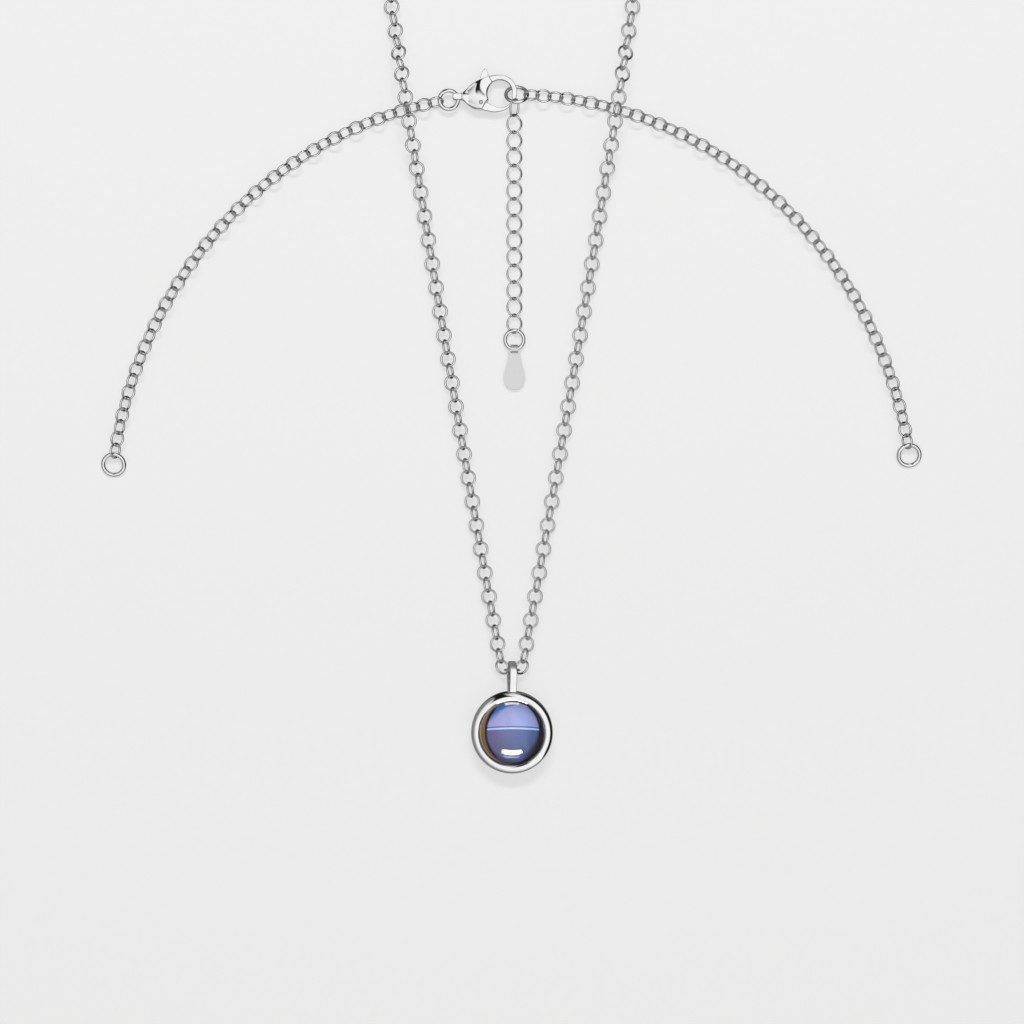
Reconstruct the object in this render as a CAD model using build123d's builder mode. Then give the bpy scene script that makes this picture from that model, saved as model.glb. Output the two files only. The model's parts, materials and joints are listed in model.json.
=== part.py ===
from build123d import *
import os
from math import asin, cos, pi, radians, sin, sqrt

# Pendant necklace laid flat. Millimetres, +Z up from the table. The origin is the
# centre of the pendant's flat back; +Y runs from the pendant up to the clasp.

os.makedirs("parts", exist_ok=True)

# Pendant
bezel_radius = 6.35
bezel_opening = 5.05
bezel_height = 3.7
back_plate_radius = 5.6
back_plate_thick = 0.6
cup_radius = 5.02
cup_wall = 0.27
cup_height = 2.35
foil_thick = 0.1
lens_radius = 4.7
lens_rim_height = 1.15
lens_top = 4.3
bail_width = 1.1
bail_thick = 0.4
bail_inner = 1.6
bail_foot = 0.85
bail_reach = 3.0
bail_lean = 8
bail_centre = Vector(0, 9.1, 2.05)

# Round chain links of the front strands and of the back chain
wire = 0.34
link_radius = 1.115
front_play = 0.01
first_play = 0.06
back_play = 0.02
link_reach = 2 * link_radius - wire

# Front strands, from the link in the bail up to an open ring at each top
bail_link_y = 9.7
front_roll = 20
first_link = Vector(1.504, 10.143, 1.844)
first_link_axis = Vector(0.535, -0.344, 0.771)
front_rest = 1.225
settle_run = 6.0
strand_angle_low = 10.3
strand_angle_high = 8.6
strand_parts = [6, 7, 7, 7, 7, 7, 15, 2]
crossing_run = 88.8
crossing_rise = 2.55
crossing_flat = 3.0
crossing_ramp = 10.5

# Back chain, on one ellipse either side of the clasp
arc_centre_y = 33.0
arc_half_width = 62.75
arc_half_height = 66.4
back_roll = 30
back_rest = 1.145
left_parts = [9, 9, 9, 8, 8]
right_parts = [9, 8, 8, 8, 8, 6]

# Rings: centre-line radius and wire radius, and X of the two beside the clasp
clasp_ring = (1.45, 0.3)
hook_ring = (1.675, 0.275)
end_ring = (1.65, 0.3)
tag_ring = (1.46, 0.265)
ring_slack = 0.03
clasp_ring_x = -9.87
hook_ring_x = 0.72
hook_ring_tilt = 38

# Clasp, about the centre of its hook
clasp_centre = Vector(-1.9, 99.49, 1.35)
clasp_thick = 2.4
hook_thick = 1.1
hook_middle = (0, 0.25)
hook_outer = 2.67
hook_inner = 1.95
hook_end_angle = -32
eye_centre = (-6.62, -0.42)
eye_hole = 0.5
slot_height = 1.0
lever_thick = 0.8
lever_pivot = (-2.95, -1.41)
tip_sweep = 4.93
pin_radius = 0.25
pin_hole = 0.28
spring_wire = 0.06
spring_radius = 0.42
spring_turns = 2.5
spring_pocket = 0.6
spring_floor = 0.08

# Extender: flat twisted links, then a ring and a tag
twist_length = 3.22
twist_width = 2.5
twist_wire = 0.3
twist_angle = 45
twist_pitch = twist_length - 2 * twist_wire - 0.02
extender_parts = [5, 5, 3]
extender_rest = 0.72
drop_length = 3.0
drop_width = 2.2
drop_roll = -50
drop_slope = 27
drop_x = 0.37
tag_length = 6.35
tag_width = 3.4
tag_neck = 1.95
tag_shoulder = 0.4
tag_thick = 0.55
tag_rim = 0.08
tag_border = 0.28
tag_eye_outer = 0.66
tag_eye_hole = 0.36
tag_eye_width = 1.1


def smooth(t):
    """0 to 1 with a flat start and end."""
    t = min(max(t, 0), 1)
    return (1 - cos(pi * t)) / 2


def front_height(run):
    """Height of a strand's centre line: down from the bail, and over the back chain."""
    down = (first_link.Z - front_rest) * (1 - smooth(run / settle_run))
    beyond = abs(run - crossing_run) - crossing_flat
    return front_rest + down + crossing_rise * (1 - smooth(beyond / crossing_ramp))


def first_link_plane(side):
    """Plane of the link beside the bail, turned to leave the loop; X towards the strand."""
    origin = Vector(side * first_link.X, first_link.Y, first_link.Z)
    axis = Vector(side * first_link_axis.X, first_link_axis.Y, first_link_axis.Z).normalized()
    lean = radians(strand_angle_low)
    onward = Vector(side * sin(lean), cos(lean), 0)
    return Plane(origin=origin, x_dir=onward - axis * onward.dot(axis), z_dir=axis)


def front_centres(side):
    """Link centres of one strand; side is -1 on the left and 1 on the right."""
    count = sum(strand_parts)
    start = first_link_plane(side)
    hook = start.origin + start.x_dir * (link_radius - wire - first_play)
    centres = [start.origin, hook]
    for i in range(1, count):
        step = link_radius if i == 1 else link_reach - front_play
        run = (i - 1) * (link_reach - front_play)
        rise = front_height(run + step) - centres[-1].Z
        flat = sqrt(step**2 - rise**2)
        lean = radians(strand_angle_low + (strand_angle_high - strand_angle_low) * i / count)
        centres.append(centres[-1] + Vector(side * flat * sin(lean), flat * cos(lean), rise))
    del centres[1]
    return centres


def arc_point(turn, height=back_rest):
    """Point of the back chain's ellipse; turn is 0 at the top and positive to the right."""
    return Vector(
        arc_half_width * sin(turn), arc_centre_y + arc_half_height * cos(turn), height
    )


def arc_step(turn, step, side):
    """Angle of the point one straight step further round the ellipse."""
    onward = turn + side * step / arc_half_height
    for _ in range(6):
        reach = (arc_point(onward) - arc_point(turn)).length
        onward = turn + (onward - turn) * step / reach
    return onward


def ring_reach(ring):
    """Distance from a ring's centre to the centre of the chain link hooked on it."""
    radius, ring_wire = ring
    return radius - ring_wire - wire / 2 - back_play + link_radius


def back_turns(start_turn, ring, count, side):
    """Angles of the start ring, of each link and of the end ring."""
    turns = [start_turn]
    turns.append(arc_step(turns[-1], ring_reach(ring), side))
    for _ in range(count - 1):
        turns.append(arc_step(turns[-1], link_reach - back_play, side))
    turns.append(arc_step(turns[-1], ring_reach(end_ring) - ring_slack, side))
    return turns


def ring_plane(centre, along, roll):
    """Plane of a ring: X along the chain, turned about it by roll from lying flat."""
    along = along.normalized()
    side = Vector(0, 0, 1).cross(along).normalized()
    up = along.cross(side)
    across = side * cos(radians(roll)) + up * sin(radians(roll))
    return Plane(origin=centre, x_dir=along, z_dir=along.cross(across))


def link_planes(centres, before, after, roll, first_upright):
    """Planes of a run of links, lying and upright by turns."""
    path = [before, *centres, after]
    planes = []
    for i, centre in enumerate(centres):
        upright = (i % 2 == 0) == first_upright
        planes.append(ring_plane(centre, path[i + 2] - path[i], roll + 90 * upright))
    return planes


def groups(planes, counts):
    """Split a run of links into its segments."""
    start = 0
    for count in counts:
        yield planes[start : start + count]
        start += count


def end_point(plane, sign):
    """Centre of a link's wire at its far (1) or near (-1) end."""
    return plane.origin + plane.x_dir * (sign * link_radius)


def save(part, name):
    """Label a finished piece and write its STEP file."""
    part.label = name
    export_step(part, f"parts/{name}.step")


def save_links(planes, name):
    """Write a segment of round links, each a closed ring of wire."""
    with BuildPart() as links:
        with Locations(*planes):
            Torus(link_radius, wire / 2)
    save(links.part, name)


def save_ring(plane, ring, name, turn=360):
    """Write one larger ring; turn under 360 leaves it open beside the chain."""
    with BuildPart() as piece:
        with Locations(Plane(origin=plane.origin, x_dir=plane.y_dir, z_dir=plane.z_dir)):
            Torus(ring[0], ring[1], major_angle=turn)
    save(piece.part, name)


def drooping_ring(centre, onward):
    """Plane of an end ring hooked at link height, whose far edge rests on the table."""
    flat = Vector(onward.X, onward.Y, 0).normalized()
    near = Vector(centre.X, centre.Y, centre.Z) - flat * end_ring[0]
    fall = centre.Z - end_ring[1] - 0.01
    droop = asin(fall / (2 * end_ring[0]))
    down = flat * cos(droop) - Vector(0, 0, sin(droop))
    return ring_plane(near + down * end_ring[0], down, 0)


# Where the chain and its rings lie
bail_link_plane = ring_plane(Vector(0, bail_link_y, bail_centre.Z), Vector(1, 0, 0), 90)
front_planes = {}
front_ring_planes = {}
for side, hand in ((-1, "left"), (1, "right")):
    centres = front_centres(side)
    onward = (centres[-1] - centres[-2]).normalized()
    ring_centre = centres[-1] + onward * (ring_reach(end_ring) - ring_slack)
    planes = link_planes(centres, centres[0], ring_centre, side * front_roll, False)
    front_planes[hand] = [first_link_plane(side), *planes[1:]]
    front_ring_planes[hand] = drooping_ring(ring_centre, onward)

clasp_ring_turn = asin(clasp_ring_x / arc_half_width)
hook_ring_turn = asin(hook_ring_x / arc_half_width)
back_planes = {}
back_ring_planes = {}
back_runs = {
    "left": (clasp_ring_turn, clasp_ring, left_parts, -1),
    "right": (hook_ring_turn, hook_ring, right_parts, 1),
}
for hand, (start_turn, ring, counts, side) in back_runs.items():
    points = []
    for i, turn in enumerate(back_turns(start_turn, ring, sum(counts), side)):
        lift = (clasp_centre.Z - back_rest) * (1 - smooth(i / 5))
        points.append(arc_point(turn, back_rest + lift))
    links = link_planes(points[1:-1], points[0], points[-1], -side * back_roll, True)
    back_planes[hand] = links
    back_ring_planes[hand] = drooping_ring(points[-1], points[-1] - points[-2])

clasp_ring_plane = Plane(origin=arc_point(clasp_ring_turn, clasp_centre.Z))
hook_tilt = radians(hook_ring_tilt)
hook_ring_plane = ring_plane(
    arc_point(hook_ring_turn, clasp_centre.Z), Vector(0, -cos(hook_tilt), sin(hook_tilt)), 0
)

# The extender hangs from the near side of the hook ring and runs straight towards the pendant
drop_start = hook_ring_plane.origin + hook_ring_plane.x_dir * hook_ring[0]
drop_reach = hook_ring[1] + twist_wire / 2 + 0.02
drop_dir = Vector(0, -cos(radians(drop_slope)), -sin(radians(drop_slope)))
drop_hook = Vector(drop_x, drop_start.Y, drop_start.Z) - drop_dir * drop_reach
drop_centre = drop_hook + drop_dir * (drop_length - twist_wire) / 2
drop_plane = ring_plane(drop_centre, drop_dir, drop_roll)
twist_first_y = (drop_hook + drop_dir * (drop_length - 2 * twist_wire - 0.03)).Y
twist_ys = [
    twist_first_y - twist_length / 2 + twist_wire / 2 - i * twist_pitch
    for i in range(sum(extender_parts))
]
tag_ring_y = twist_ys[-1] - twist_length / 2 + twist_wire + tag_ring[1] + 0.02 - tag_ring[0]
tag_ring_plane = Plane(origin=(drop_x, tag_ring_y, extender_rest))
tag_eye_y = tag_ring_y - tag_ring[0]

# Pendant: a cast bezel with a pressed-in back, holding a cup, a foil and a domed lens
with BuildPart() as pendant_bezel:
    with BuildSketch(Plane.XZ):
        with BuildLine():
            crown_in = (bezel_opening, bezel_height - 0.35)
            crown_out = (bezel_radius, bezel_height - 1.2)
            seat = (bezel_opening, back_plate_thick + 0.02)
            recess = back_plate_radius + 0.02
            Polyline(crown_in, seat, (recess, seat[1]), (recess, 0), (bezel_radius - 0.3, 0))
            ThreePointArc((bezel_radius - 0.3, 0), (bezel_radius - 0.088, 0.088), (bezel_radius, 0.3))
            Line((bezel_radius, 0.3), crown_out)
            crown_top = (bezel_radius - 0.62, bezel_height)
            Spline(crown_out, crown_top, crown_in, tangents=[(0, 1), (-0.1, -1)])
        make_face()
    revolve(axis=Axis.Z)
save(pendant_bezel.part, "pendant_bezel")

with BuildPart() as pendant_back_plate:
    Cylinder(back_plate_radius, back_plate_thick, align=(Align.CENTER, Align.CENTER, Align.MIN))
    fillet(pendant_back_plate.edges().group_by(Axis.Z)[0], 0.1)
save(pendant_back_plate.part, "pendant_back_plate")

cup_floor = back_plate_thick + 0.02
with BuildPart() as lens_cup:
    with BuildSketch(Plane.XY.offset(cup_floor)):
        Circle(cup_radius)
    extrude(amount=cup_height)
    with BuildSketch(Plane.XY.offset(cup_floor + cup_wall)):
        Circle(cup_radius - cup_wall)
    extrude(amount=cup_height, mode=Mode.SUBTRACT)
    fillet(lens_cup.edges().group_by(Axis.Z)[-1], 0.1)
save(lens_cup.part, "lens_cup")

foil_base = cup_floor + cup_wall + 0.01
with BuildPart() as foil_disc:
    with BuildSketch(Plane.XY.offset(foil_base)):
        Circle(lens_radius)
    extrude(amount=foil_thick)
save(foil_disc.part, "foil_disc")

lens_base = foil_base + foil_thick + 0.01
with BuildPart() as glass_lens:
    with BuildSketch(Plane.XZ):
        with BuildLine():
            rim = (lens_radius, lens_base + lens_rim_height)
            Polyline((0, lens_top), (0, lens_base), (lens_radius, lens_base), rim)
            dome_rise = lens_top - rim[1]
            dome_radius = (lens_radius**2 + dome_rise**2) / (2 * dome_rise)
            half = asin(lens_radius / dome_radius) / 2
            middle = (dome_radius * sin(half), lens_top - dome_radius * (1 - cos(half)))
            ThreePointArc(rim, middle, (0, lens_top))
        make_face()
    revolve(axis=Axis.Z)
save(glass_lens.part, "glass_lens")

# Bail: a band bent to a loop and soldered on the bezel's edge, leaning a little to one side
lean = radians(bail_lean)
bail_plane = Plane(origin=bail_centre, x_dir=(0, 1, 0), z_dir=(cos(lean), 0, -sin(lean)))
with BuildPart() as pendant_bail:
    with BuildSketch(bail_plane):
        with BuildSketch(mode=Mode.PRIVATE) as loop:
            Circle(bail_inner)
            with Locations((-bail_reach, 0)):
                Circle(bail_foot)
            make_hull()
        add(loop.sketch)
        offset(amount=bail_thick)
        add(loop.sketch, mode=Mode.SUBTRACT)
    extrude(amount=bail_width / 2, both=True)
    sides = pendant_bail.faces().sort_by(Axis(bail_centre, bail_plane.z_dir))
    fillet(sides[0].edges() + sides[-1].edges(), 0.1)
    Cylinder(bezel_radius, 10, mode=Mode.SUBTRACT)
save(pendant_bail.part, "pendant_bail")

# Chain segments and rings
save_links([bail_link_plane], "bail_link")
for hand, planes in front_planes.items():
    for i, segment in enumerate(groups(planes, strand_parts), 1):
        save_links(segment, f"front_{hand}_chain_{i}")
    save_ring(front_ring_planes[hand], end_ring, f"front_{hand}_open_ring", 347)
for hand, counts in (("left", left_parts), ("right", right_parts)):
    for i, segment in enumerate(groups(back_planes[hand], counts), 1):
        save_links(segment, f"back_{hand}_chain_{i}")
    save_ring(back_ring_planes[hand], end_ring, f"back_{hand}_end_ring")
save_ring(clasp_ring_plane, clasp_ring, "clasp_ring")
save_ring(hook_ring_plane, hook_ring, "hook_ring")


def clasp_at(x, y):
    """A point of the clasp, given from the centre of its hook."""
    return (clasp_centre.X + x, clasp_centre.Y + y)


def hook_point(radius, turn):
    """A point of the hook, as clasp_plane draws it."""
    return (hook_middle[0] + radius * cos(turn), hook_middle[1] + radius * sin(turn))


# Clasp body: a hollow teardrop with an eye at one end and a fixed hook at the other
clasp_plane = Plane(origin=clasp_centre)
hook_end = radians(hook_end_angle)
with BuildPart() as clasp_body:
    with BuildSketch(clasp_plane):
        with BuildLine():
            upper = [(-5.9, 0.05), (-4.7, 1.2), (-3.1, 2.15), (-1.7, 2.7)]
            Spline(*upper, tangents=[(1, 0.7), (1, 0.35)])
            Line((-1.7, 2.7), (-1.2, 1.8))
            ThreePointArc((-1.2, 1.8), (-1.95, 0.3), (-1.75, -0.95))
            Line((-1.75, -0.95), (-2.2, -1.45))
            Line((-2.2, -1.45), (-2.75, -2.45))
            Spline((-2.75, -2.45), (-4.2, -2.15), (-5.9, -0.85), tangents=[(-1, 0.05), (-1, 0.8)])
            Line((-5.9, -0.85), (-5.9, 0.05))
        make_face()
    extrude(amount=clasp_thick / 2, both=True)
    levels = clasp_body.faces().group_by(Axis.Z)
    fillet(levels[0].edges() + levels[-1].edges(), 0.28)
    with BuildSketch(clasp_plane):
        with BuildLine():
            top_out = (-1.95, 2.62)
            outer = [hook_point(hook_outer, t) for t in (pi / 2, pi / 4, hook_end)]
            inner = [hook_point(hook_inner, t) for t in (hook_end, pi / 3, 2.5)]
            Spline(top_out, outer[0], tangents=[(1, 0.35), (1, 0)])
            ThreePointArc(*outer)
            Line(outer[2], inner[0])
            ThreePointArc(*inner)
            Line(inner[2], top_out)
        make_face()
    extrude(amount=hook_thick / 2, both=True)
    with BuildSketch(clasp_plane):
        with Locations(lever_pivot):
            Circle(tip_sweep)
        with Locations((2, -0.8)):
            Rectangle(2, 1.6, mode=Mode.INTERSECT)
    extrude(amount=hook_thick, both=True, mode=Mode.SUBTRACT)
    with BuildSketch(clasp_plane):
        with Locations((-6.55, -0.42)):
            RectangleRounded(1.6, 1.0, 0.35)
    extrude(amount=0.8, both=True)
    with BuildSketch(clasp_plane):
        with BuildLine():
            slot_right = [(-1.5, 2.1), (-2.5, 1.7), (-2.5, -0.75), (-1.6, -0.75), (-1.6, -3)]
            slot_left = [(-3.5, -3), (-3.9, -1.6), (-4.9, -0.3), (-4.9, 3), (-1.5, 3)]
            Polyline(*slot_right, *slot_left, close=True)
        make_face()
    extrude(amount=slot_height / 2, both=True, mode=Mode.SUBTRACT)
    with Locations(Plane(origin=(*clasp_at(*eye_centre), clasp_centre.Z), z_dir=(0, 1, 0))):
        Cylinder(eye_hole, 2, mode=Mode.SUBTRACT)
    with Locations(Plane(origin=(*clasp_at(*lever_pivot), clasp_centre.Z))):
        Cylinder(pin_hole, clasp_thick + 1, mode=Mode.SUBTRACT)
save(clasp_body.part, "clasp_body")

# Lever: thumb tab, arm, pivot boss and gate in one piece
with BuildPart() as clasp_lever:
    with BuildSketch(clasp_plane):
        with BuildLine():
            Spline((-3.0, 2.3), (-2.85, 3.2), (-2.28, 3.95), tangents=[(0, 1), (1, 0.7)])
            Spline((-2.28, 3.95), (-1.9, 3.4), (-1.8, 2.75), tangents=[(0.6, -1), (0, -1)])
            Line((-1.8, 2.75), (-2.62, 1.5))
            Line((-2.62, 1.5), (-2.62, -0.8))
            gate = [(-2.62, -0.8), (-1.9, -1.5), (0, -2.15), (1.85, -1.05)]
            Spline(*gate, tangents=[(0.3, -1), (0.5, 1)])
            Line((1.85, -1.05), (1.92, -1.38))
            under = [(1.92, -1.38), (0.95, -2.42), (-0.4, -2.78), (-2.84, -2.42)]
            Spline(*under, tangents=[(-0.5, -1), (-1, 0.25)])
            Line((-2.84, -2.42), (-3.6, -1.9))
            Line((-3.6, -1.9), (-3.6, -0.9))
            Line((-3.6, -0.9), (-3.3, 1.2))
            Line((-3.3, 1.2), (-3.0, 2.3))
        make_face()
    extrude(amount=lever_thick / 2, both=True)
    with Locations(Plane(origin=(*clasp_at(*lever_pivot), clasp_centre.Z))):
        Cylinder(pin_hole, 2, mode=Mode.SUBTRACT)
    with Locations(Plane(origin=(*clasp_at(*lever_pivot), clasp_centre.Z + spring_floor))):
        Cylinder(spring_pocket, 1, align=(Align.CENTER, Align.CENTER, Align.MIN), mode=Mode.SUBTRACT)
save(clasp_lever.part, "clasp_lever")

with BuildPart() as clasp_pin:
    with Locations(Plane(origin=(*clasp_at(*lever_pivot), clasp_centre.Z))):
        Cylinder(pin_radius, clasp_thick - 0.04)
    fillet(clasp_pin.edges().filter_by(GeomType.CIRCLE), 0.05)
save(clasp_pin.part, "clasp_pin")

spring_pitch = 2 * spring_wire + 0.02
spring_z = clasp_centre.Z + spring_floor + spring_wire + 0.02
spring_plane = Plane(origin=(*clasp_at(*lever_pivot), spring_z))
with BuildPart() as clasp_spring:
    with BuildLine(spring_plane):
        coil = Helix(spring_pitch, spring_pitch * spring_turns, spring_radius)
    with BuildSketch(Plane(origin=coil @ 0, z_dir=coil % 0)):
        Circle(spring_wire)
    sweep(is_frenet=True)
save(clasp_spring.part, "clasp_spring")


def twisted_point(turn):
    """Point on the centre line of a link that lies flat, twisted between its ends."""
    along = (twist_length - twist_wire) / 2 * cos(turn)
    across = (twist_width - twist_wire) / 2 * sin(turn)
    roll = radians(twist_angle) * cos(turn)
    return (along, across * cos(roll), across * sin(roll))


# Extender: one short link that drops from the hook ring, then the twisted links
with BuildPart() as twisted_link:
    with BuildLine():
        side_wire = Spline([twisted_point(pi * i / 8) for i in range(9)])
    with BuildSketch(Plane(origin=side_wire @ 0, z_dir=side_wire % 0)):
        Circle(twist_wire / 2)
    sweep()
    add(twisted_link.part.rotate(Axis.X, 180))

with BuildPart() as extender_drop_link:
    straight = (drop_length - drop_width) / 2
    bend = (drop_width - twist_wire) / 2
    with BuildLine(drop_plane) as drop_path:
        Line((0, bend), (straight, bend))
        ThreePointArc((straight, bend), (straight + bend, 0), (straight, -bend))
        Line((straight, -bend), (0, -bend))
    with BuildSketch(Plane(origin=drop_path.wire() @ 0, z_dir=drop_path.wire() % 0)):
        Circle(twist_wire / 2)
    sweep(path=drop_path.wire())
    mirror(about=Plane(origin=drop_plane.origin, z_dir=drop_plane.x_dir))
save(extender_drop_link.part, "extender_drop_link")

first = 0
for i, count in enumerate(extender_parts, 1):
    with BuildPart() as segment:
        places = [(drop_x, y, extender_rest) for y in twist_ys[first : first + count]]
        with Locations(*[Plane(origin=place, x_dir=(0, -1, 0)) for place in places]):
            add(twisted_link.part)
    save(segment.part, f"extender_chain_{i}")
    first += count
save_ring(tag_ring_plane, tag_ring, "tag_ring")

# Tag: a flat drop with a low rim, and an eye formed across its neck
def tag_outline(plane, inset):
    """Face of the tag, drawn in from its edge by inset."""
    with BuildSketch(plane) as face:
        with BuildLine():
            top = -tag_shoulder - inset
            Line((0, top), (tag_neck / 2 - inset, top))
            Spline(
                (tag_neck / 2 - inset, top),
                (tag_width * 0.39 - inset, -tag_length * 0.42),
                (tag_width / 2 - inset, -tag_length * 0.72),
                (tag_width * 0.36 - inset * 0.8, -tag_length * 0.92 + inset / 2),
                (0, -tag_length + inset),
                tangents=[(0.02, -1), (-1, 0)],
            )
            mirror(about=Plane.YZ)
        make_face()
    return face.sketch


tag_plane = Plane(origin=(drop_x, tag_eye_y, extender_rest - tag_eye_outer + 0.02))
with BuildPart() as extender_tag:
    extrude(tag_outline(tag_plane, 0), amount=tag_thick)
    recess_plane = tag_plane.offset(tag_thick - tag_rim)
    extrude(tag_outline(recess_plane, tag_border), amount=1, mode=Mode.SUBTRACT)
    with Locations(Plane(origin=(drop_x, tag_eye_y, extender_rest), z_dir=(1, 0, 0))):
        Cylinder(tag_eye_outer, tag_eye_width)
        Cylinder(tag_eye_hole, 4, mode=Mode.SUBTRACT)
save(extender_tag.part, "extender_tag")
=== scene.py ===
import json
import math

import bpy
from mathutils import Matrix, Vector

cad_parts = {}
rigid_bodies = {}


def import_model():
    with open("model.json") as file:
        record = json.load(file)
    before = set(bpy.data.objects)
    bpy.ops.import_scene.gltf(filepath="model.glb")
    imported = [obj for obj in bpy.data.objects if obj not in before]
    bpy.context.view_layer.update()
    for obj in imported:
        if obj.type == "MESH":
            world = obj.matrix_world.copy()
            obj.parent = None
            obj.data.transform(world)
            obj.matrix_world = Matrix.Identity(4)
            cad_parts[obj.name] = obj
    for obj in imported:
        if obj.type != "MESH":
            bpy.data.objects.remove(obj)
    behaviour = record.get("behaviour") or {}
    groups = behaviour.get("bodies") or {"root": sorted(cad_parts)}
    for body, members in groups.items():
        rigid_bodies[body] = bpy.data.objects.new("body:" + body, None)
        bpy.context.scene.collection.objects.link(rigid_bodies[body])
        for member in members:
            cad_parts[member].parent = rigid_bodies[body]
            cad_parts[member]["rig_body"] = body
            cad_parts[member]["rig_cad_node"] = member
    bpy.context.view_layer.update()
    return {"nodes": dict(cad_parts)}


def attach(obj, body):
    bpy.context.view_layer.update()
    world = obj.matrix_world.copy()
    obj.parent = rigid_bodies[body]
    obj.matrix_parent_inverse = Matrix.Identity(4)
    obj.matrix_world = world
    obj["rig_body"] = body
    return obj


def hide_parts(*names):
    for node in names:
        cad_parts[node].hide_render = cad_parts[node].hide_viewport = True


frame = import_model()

nodes = frame["nodes"]

# Camera: a long lens straight above the laid-out necklace, with +Y at the top. It looks
# down on a point between the pendant and the clasp, with no tilt and no shift.
camera_height = 0.4436
necklace_top = 0.0013
view_centre_y = 0.0343
camera_data = bpy.data.cameras.new("camera")
camera_data.lens, camera_data.sensor_width = 100, 36
camera = bpy.data.objects.new("camera", camera_data)
camera.location = (0, view_centre_y, camera_height + necklace_top)
bpy.context.scene.collection.objects.link(camera)
bpy.context.scene.camera = camera
bpy.context.scene.view_settings.view_transform = "Standard"


# Studio: a white ceiling that darkens towards the walls. A black strip hung across it
# and a black board low on the right draw the dark lines in the polished silver.
class Shade:
    """A socket of one node tree, so that shader sums are written like sums of numbers."""

    def __init__(self, tree, socket=None):
        self.tree, self.socket = tree, socket

    def node(self, kind, inputs=(), out=0, **settings):
        """Any node: its type, its settings, and the values or links of its sockets."""
        made = self.tree.nodes.new("ShaderNode" + kind)
        for name, value in settings.items():
            setattr(made, name, value)
        for name, value in dict(inputs).items():
            if isinstance(value, Shade):
                self.tree.links.new(value.socket, made.inputs[name])
            else:
                made.inputs[name].default_value = value
        return Shade(self.tree, made.outputs[out] if made.outputs else None)

    def maths(self, operation, a, b):
        """A Math node on two numbers, either of them a value or a socket."""
        return self.node("Math", {0: a, 1: b}, operation=operation)

    def __add__(self, other):
        return self.maths("ADD", self, other)

    __radd__ = __add__

    def __sub__(self, other):
        return self.maths("SUBTRACT", self, other)

    def __rsub__(self, other):
        return self.maths("SUBTRACT", other, self)

    def __mul__(self, other):
        return self.maths("MULTIPLY", self, other)

    __rmul__ = __mul__

    def between(self, low, high):
        """0 below low and 1 above high, smooth between them."""
        return self.node(
            "MapRange",
            {"Value": self, "From Min": low, "From Max": high},
            interpolation_type="SMOOTHSTEP",
        )

    def mix(self, under, over):
        """The colour under where this mask is 0, and over where it is 1."""
        inputs = {0: self, 6: under, 7: over}
        return self.node("Mix", inputs, out=2, data_type="RGBA")


wall_grey = (0.24, 0.24, 0.245, 1)
ceiling_white = (1.08, 1.08, 1.08, 1)
strip_black = (0.01, 0.01, 0.01, 1)
board_black = (0.02, 0.02, 0.02, 1)
studio_strength = 0.95

world = bpy.data.worlds.new("studio")
bpy.context.scene.world = world
world.use_nodes = True
world.node_tree.nodes.clear()
sky = Shade(world.node_tree)
direction = sky.node("TexCoord", out=0)
right, far, up = [sky.node("SeparateXYZ", {0: direction}, out=i) for i in range(3)]
light = (up + right * 0.5).between(0.05, 0.95).mix(wall_grey, ceiling_white)
off_strip = right * 0.94 + far * 0.34
strip = 1 - (off_strip * off_strip).between(0.014, 0.026)
strip = strip * (1 - up.between(0.93, 0.97)) * far.between(0.0, 0.05)
light = strip.mix(light, strip_black)
board = (right * 0.9 + far * 0.3).between(0.4, 0.5) * (1 - up.between(0.6, 0.75))
light = board.mix(light, board_black)
background = sky.node("Background", {"Color": light, "Strength": studio_strength})
sky.node("OutputWorld", {"Surface": background})


# Table: a wide sheet of matt pale card under the necklace. It glows a little, so that
# shadows on it stay soft, and the polished silver doesn't mirror it.
def new_finish(name):
    """A material with an empty node tree; returns it and the tree's starter."""
    material = bpy.data.materials.new(name)
    material.use_nodes = True
    material.node_tree.nodes.clear()
    return material, Shade(material.node_tree)


def surface(start, settings):
    """Finish a tree with one principled shader, with these settings."""
    shader = start.node("BsdfPrincipled", settings)
    start.node("OutputMaterial", {"Surface": shader})


def place(start):
    """The point of the piece in metres, and its X, Y and Z in millimetres."""
    point = start.node("TexCoord", out=3)
    axes = [start.node("SeparateXYZ", {0: point}, out=i) for i in range(3)]
    return point, [axis * 1000 for axis in axes]


table_size = 3
card_glow = 0.68

bpy.ops.object.select_all(action="DESELECT")
bpy.ops.mesh.primitive_plane_add(size=table_size)
table = bpy.context.object
table.name = "table"
table.visible_glossy = False
pale_card, start = new_finish("pale table")
point, _ = place(start)
speckle = start.node("TexNoise", {"Vector": point, "Scale": 900, "Detail": 3})
surface(start, {
    "Base Color": (0.25, 0.25, 0.25, 1),
    "Roughness": 0.9,
    "Specular IOR Level": 0.2,
    "Emission Color": speckle.mix((0.84, 0.84, 0.835, 1), (0.86, 0.86, 0.855, 1)),
    "Emission Strength": card_glow,
})
table.data.materials.append(pale_card)


# Lamps: one over the far edge puts the pendant's shadow on its near side. A low one at
# the near edge lights the glass lens alone, and leaves the bright mark near its bottom.
def add_lamp(name, place, aim, width, height, watts):
    """A rectangular lamp at place, facing aim."""
    data = bpy.data.lights.new(name, "AREA")
    data.shape, data.size, data.size_y, data.energy = "RECTANGLE", width, height, watts
    lamp = bpy.data.objects.new(name, data)
    lamp.location = place
    lamp.rotation_euler = (Vector(place) - Vector(aim)).to_track_quat("Z", "Y").to_euler()
    bpy.context.scene.collection.objects.link(lamp)
    return lamp


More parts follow.
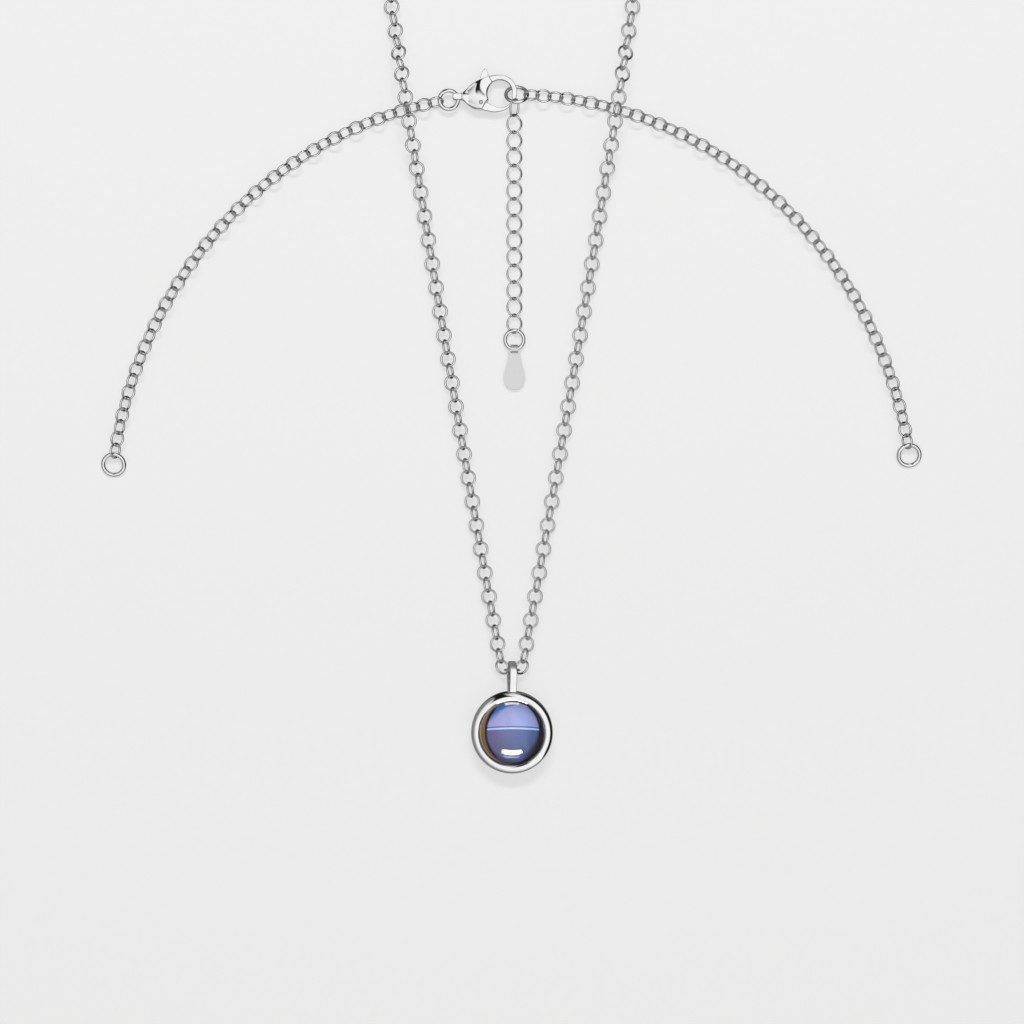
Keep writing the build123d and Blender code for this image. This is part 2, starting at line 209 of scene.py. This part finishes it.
pendant_centre = (0, 0, 0)
far_lamp = add_lamp("far lamp", (0, 0.42, 0.55), pendant_centre, 0.3, 0.08, 2.6)
far_lamp.visible_glossy = False
near_lamp = add_lamp("near lamp", (0, -0.33, 0.16), pendant_centre, 0.34, 0.11, 3.4)
near_lamp.visible_diffuse = False
lens_only = bpy.data.collections.new("lens only")
lens_only.objects.link(nodes["glass_lens"])
near_lamp.light_linking.receiver_collection = lens_only


# Chains, rings and the pendant's metal: drawn silver wire bent into links and soldered
# shut, and a cast bezel. All of it is polished and rhodium-plated, with faint polishing
# lines and a slightly uneven shine.
def dress(material, *names):
    """Give CAD nodes their finish."""
    for name in names:
        nodes[name].material_slots[0].material = material


bright_silver, start = new_finish("polished rhodium-plated silver")
point, _ = place(start)
cloud = start.node("TexNoise", {"Vector": point, "Scale": 700, "Detail": 4})
lines = start.node("TexNoise", {"Vector": point, "Scale": 9000, "Detail": 2})
relief = {"Height": lines, "Strength": 0.04, "Distance": 0.00001}
surface(start, {
    "Base Color": cloud.mix((0.8, 0.8, 0.795, 1), (0.92, 0.92, 0.915, 1)),
    "Metallic": 1.0,
    "Roughness": cloud * 0.08 + 0.03,
    "Normal": start.node("Bump", relief),
})
chains = ("front_", "back_", "extender_chain", "extender_drop")
dress(bright_silver, *[name for name in nodes if name.startswith(chains)])
dress(bright_silver, "bail_link", "clasp_ring", "hook_ring", "tag_ring")
dress(bright_silver, "clasp_body", "clasp_lever")
dress(bright_silver, "pendant_bezel", "pendant_back_plate", "pendant_bail")


# Clasp body: a hollow teardrop cast in one piece with its hook, then tumbled smooth. It
# is thick beside the hook and thin at the eye, and its faces fall away to their edges.
def soften(name, body, grain, rounds):
    """A rounded copy of a CAD node, as casting and tumbling leave it; it stands for the node."""
    bpy.ops.object.select_all(action="DESELECT")
    piece = nodes[name].copy()
    piece.data = nodes[name].data.copy()
    piece.name = name + "_tumbled"
    piece.parent = None
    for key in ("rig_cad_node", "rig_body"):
        del piece[key]
    bpy.context.scene.collection.objects.link(piece)
    bpy.context.view_layer.objects.active = piece
    piece.select_set(True)
    bpy.ops.object.mode_set(mode="EDIT")
    bpy.ops.mesh.select_all(action="SELECT")
    bpy.ops.mesh.remove_doubles(threshold=1e-7)
    bpy.ops.object.mode_set(mode="OBJECT")
    remesh = piece.modifiers.new("cast", "REMESH")
    remesh.mode, remesh.voxel_size = "VOXEL", grain
    bpy.ops.object.modifier_apply(modifier="cast")
    tumble = piece.modifiers.new("tumble", "SMOOTH")
    tumble.factor, tumble.iterations = 0.5, rounds
    bpy.ops.object.modifier_apply(modifier="tumble")
    bpy.ops.object.shade_smooth()
    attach(piece, body)
    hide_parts(name)
    return piece


def ease(value):
    """0 below 0 and 1 above 1, smooth between them."""
    value = min(max(value, 0), 1)
    return value * value * (3 - 2 * value)


# Millimetres, from the middle of the hook. Each _half is a distance from the middle
# plane: the lever's slot, the cast faces, and the shaped faces at the eye and the hook.
hook_centre = Vector((-0.0019, 0.09949, 0.00135))
slot_half, face_half = 0.58, 1.2
eye_half, swell, edge_drop, hook_half = 0.86, 0.36, 0.18, 0.7
eye_end, body_start, body_length = -5.9, -4.9, 2.9

clasp = soften("clasp_body", "clasp_body", 0.00006, 9)
for vertex in clasp.data.vertices:
    x, y, z = (vertex.co - hook_centre) * 1000
    if abs(z) > slot_half and x > eye_end:
        along = min(max((x - body_start) / body_length, 0), 1)
        off = (y + 0.4 - 0.45 * along) / (0.9 + 1.9 * along)
        top = eye_half + swell * math.sin(along * math.pi / 2) - edge_drop * min(off * off, 1)
        top = top + (hook_half - top) * ease((x + 4.6) / 3.4) * ease((y + 1.5) / 4.1)
        height = slot_half + (abs(z) - slot_half) * (top - slot_half) / (face_half - slot_half)
        vertex.co.z = hook_centre.z + math.copysign(height, z) / 1000
clasp.data.update()

# Clasp lever: the sprung gate with its thumb tab, cast in silver and tumbled. It turns
# on the pin in the body's slot.
soften("clasp_lever", "clasp_lever", 0.00005, 7)

# Bail: a flat silver strap bent into a loop and soldered to the bezel's top, then
# tumbled, which rounds its edges. The chain's bottom link hangs in it.
soften("pendant_bail", "pendant", 0.00004, 8)

# Tag: a drop-shaped tab stamped from sheet silver, with a low rim. Its face is satin,
# from fine brushing.
satin_silver, start = new_finish("satin silver")
point, _ = place(start)
cloud = start.node("TexNoise", {"Vector": point, "Scale": 6000, "Detail": 3})
relief = {"Height": cloud, "Strength": 0.15, "Distance": 0.00002}
surface(start, {
    "Base Color": cloud.mix((0.68, 0.68, 0.68, 1), (0.76, 0.76, 0.76, 1)),
    "Metallic": 1.0,
    "Roughness": cloud * 0.15 + 0.25,
    "Normal": start.node("Bump", relief),
})
dress(satin_silver, "extender_tag")

# Pin and spring: drawn steel wire, as it comes from the die. The pin is pressed through
# the clasp body, and the spring is hidden round it.
drawn_steel, start = new_finish("drawn steel")
point, _ = place(start)
cloud = start.node("TexNoise", {"Vector": point, "Scale": 5000})
surface(start, {
    "Base Color": cloud.mix((0.5, 0.5, 0.52, 1), (0.62, 0.62, 0.64, 1)),
    "Metallic": 1.0,
    "Roughness": cloud * 0.1 + 0.2,
})
dress(drawn_steel, "clasp_pin", "clasp_spring")

# Cup: a thin turned sleeve, plated dark, that stands inside the bezel and seats the
# lens. Its left side is painted a paler bronze: a painted sheen, brighter on that side.
cup_black = (0.05, 0.045, 0.05, 1)
painted_sheen_bronze = (0.42, 0.3, 0.17, 1)
dark_cup, start = new_finish("dark plated cup")
point, (x, y, z) = place(start)
cloud = start.node("TexNoise", {"Vector": point, "Scale": 1500, "Detail": 3})
surface(start, {
    "Base Color": (0.0 - x).between(-1, 5).mix(cup_black, painted_sheen_bronze),
    "Metallic": 1.0,
    "Roughness": cloud * 0.1 + 0.12,
})
dress(dark_cup, "lens_cup")

# Foil: a printed disc laid under the lens. Its print is a painted reflection of a blue-coated
# lens: violet to blue, deep below a slightly bowed skyline and paler above it, with a pale
# and a dark line along the skyline, a painted reflection of a lit horizon.
reflection_deep_violet, reflection_deep_blue = (0.085, 0.075, 0.21, 1), (0.035, 0.09, 0.25, 1)
reflection_pale_violet, reflection_pale_blue = (0.29, 0.27, 0.5, 1), (0.23, 0.31, 0.56, 1)
painted_dark_horizon_blue, painted_pale_horizon_blue = (0.03, 0.05, 0.2, 1), (0.4, 0.55, 0.9, 1)

foil, start = new_finish("foil with painted reflection")
point, (x, y, z) = place(start)
cloud = start.node("TexNoise", {"Vector": point, "Scale": 350, "Detail": 2})
# Paler above the skyline and deep below it: a painted reflection.
skyline = y + x * x * 0.012 - 0.6
reflection_deep_tone = (x * 0.2 + cloud * 0.3).between(-0.5, 0.9).mix(reflection_deep_violet, reflection_deep_blue)
reflection_pale_turn = (x * 0.2 + y * 0.1 + cloud * 0.3).between(-0.5, 1.3)
painted_reflection_tone = skyline.between(-0.06, 0.06).mix(reflection_deep_tone, reflection_pale_turn.mix(reflection_pale_violet, reflection_pale_blue))
# A dark and a pale line along the skyline: a painted reflection of a lit horizon.
painted_dark_horizon_line = skyline.between(0.0, 0.08) * (1 - skyline.between(0.14, 0.24))
painted_reflection_tone = painted_dark_horizon_line.mix(painted_reflection_tone, painted_dark_horizon_blue)
painted_pale_horizon_line = skyline.between(-0.26, -0.16) * (1 - skyline.between(-0.04, 0.02))
painted_reflection_tone = painted_pale_horizon_line.mix(painted_reflection_tone, painted_pale_horizon_blue)

# The foil's outer band is painted with reflections: a blue arc of painted reflection and a
# painted white highlight at the top, a painted bronze reflection of the cup along the left,
# a painted black reflection of the cup's wall along the left and right edges, and a painted
# dark reflection near black at the lower right. Across is 1 near the rim.
painted_crescent_blue, painted_highlight_white = (0.015, 0.13, 0.4, 1), (1.0, 1.0, 1.0, 1)
painted_rim_black, painted_bronze_reflection = (0.012, 0.01, 0.015, 1), (0.3, 0.19, 0.09, 1)
painted_corner_black = (0.03, 0.022, 0.03, 1)

side = x - 0.17
across = side * side * 0.072 + y * y * 0.05
painted_arc_reflection = across.between(0.55, 0.62) * (y - x * 0.7).between(3.2, 4.4)
painted_reflection_tone = (painted_arc_reflection * 0.95).mix(painted_reflection_tone, painted_crescent_blue)
painted_top_highlight = across.between(0.72, 0.8) * (y - x * x).between(2.6, 3.4)
painted_reflection_tone = painted_top_highlight.mix(painted_reflection_tone, painted_highlight_white)
# Near black along the left and right edges: a painted reflection of the cup's wall.
rim = across.between(0.88, 1.0) * (x * x).between(3.0, 7.0)
painted_reflection_tone = rim.mix(painted_reflection_tone, painted_rim_black)
painted_left_reflection = across.between(1.1, 1.2) * (0.0 - x).between(0.5, 2.5)
painted_reflection_tone = painted_left_reflection.mix(painted_reflection_tone, painted_bronze_reflection)
painted_corner_reflection = (x - y * 0.6).between(3.4, 4.4)
painted_reflection_tone = (painted_corner_reflection * 0.85).mix(painted_reflection_tone, painted_corner_black)
# The foil also glows faintly in its own printed colours: painted light, which keeps it bright
# under the glass.
surface(start, {
    "Base Color": painted_reflection_tone,
    "Metallic": 0.0,
    "Roughness": cloud * 0.1 + 0.3,
    "Emission Color": painted_reflection_tone,
    "Emission Strength": 0.2,
})
dress(foil, "foil_disc")

# Lens: a clear glass dome, ground and polished, set in the cup on top of the foil. The
# polish is very slightly uneven.
clear_glass, start = new_finish("clear glass")
point, _ = place(start)
cloud = start.node("TexNoise", {"Vector": point, "Scale": 300})
surface(start, {
    "Base Color": (0.96, 0.97, 1.0, 1),
    "Roughness": cloud * 0.01,
    "Transmission Weight": 1.0,
    "IOR": 1.45,
})
dress(clear_glass, "glass_lens")
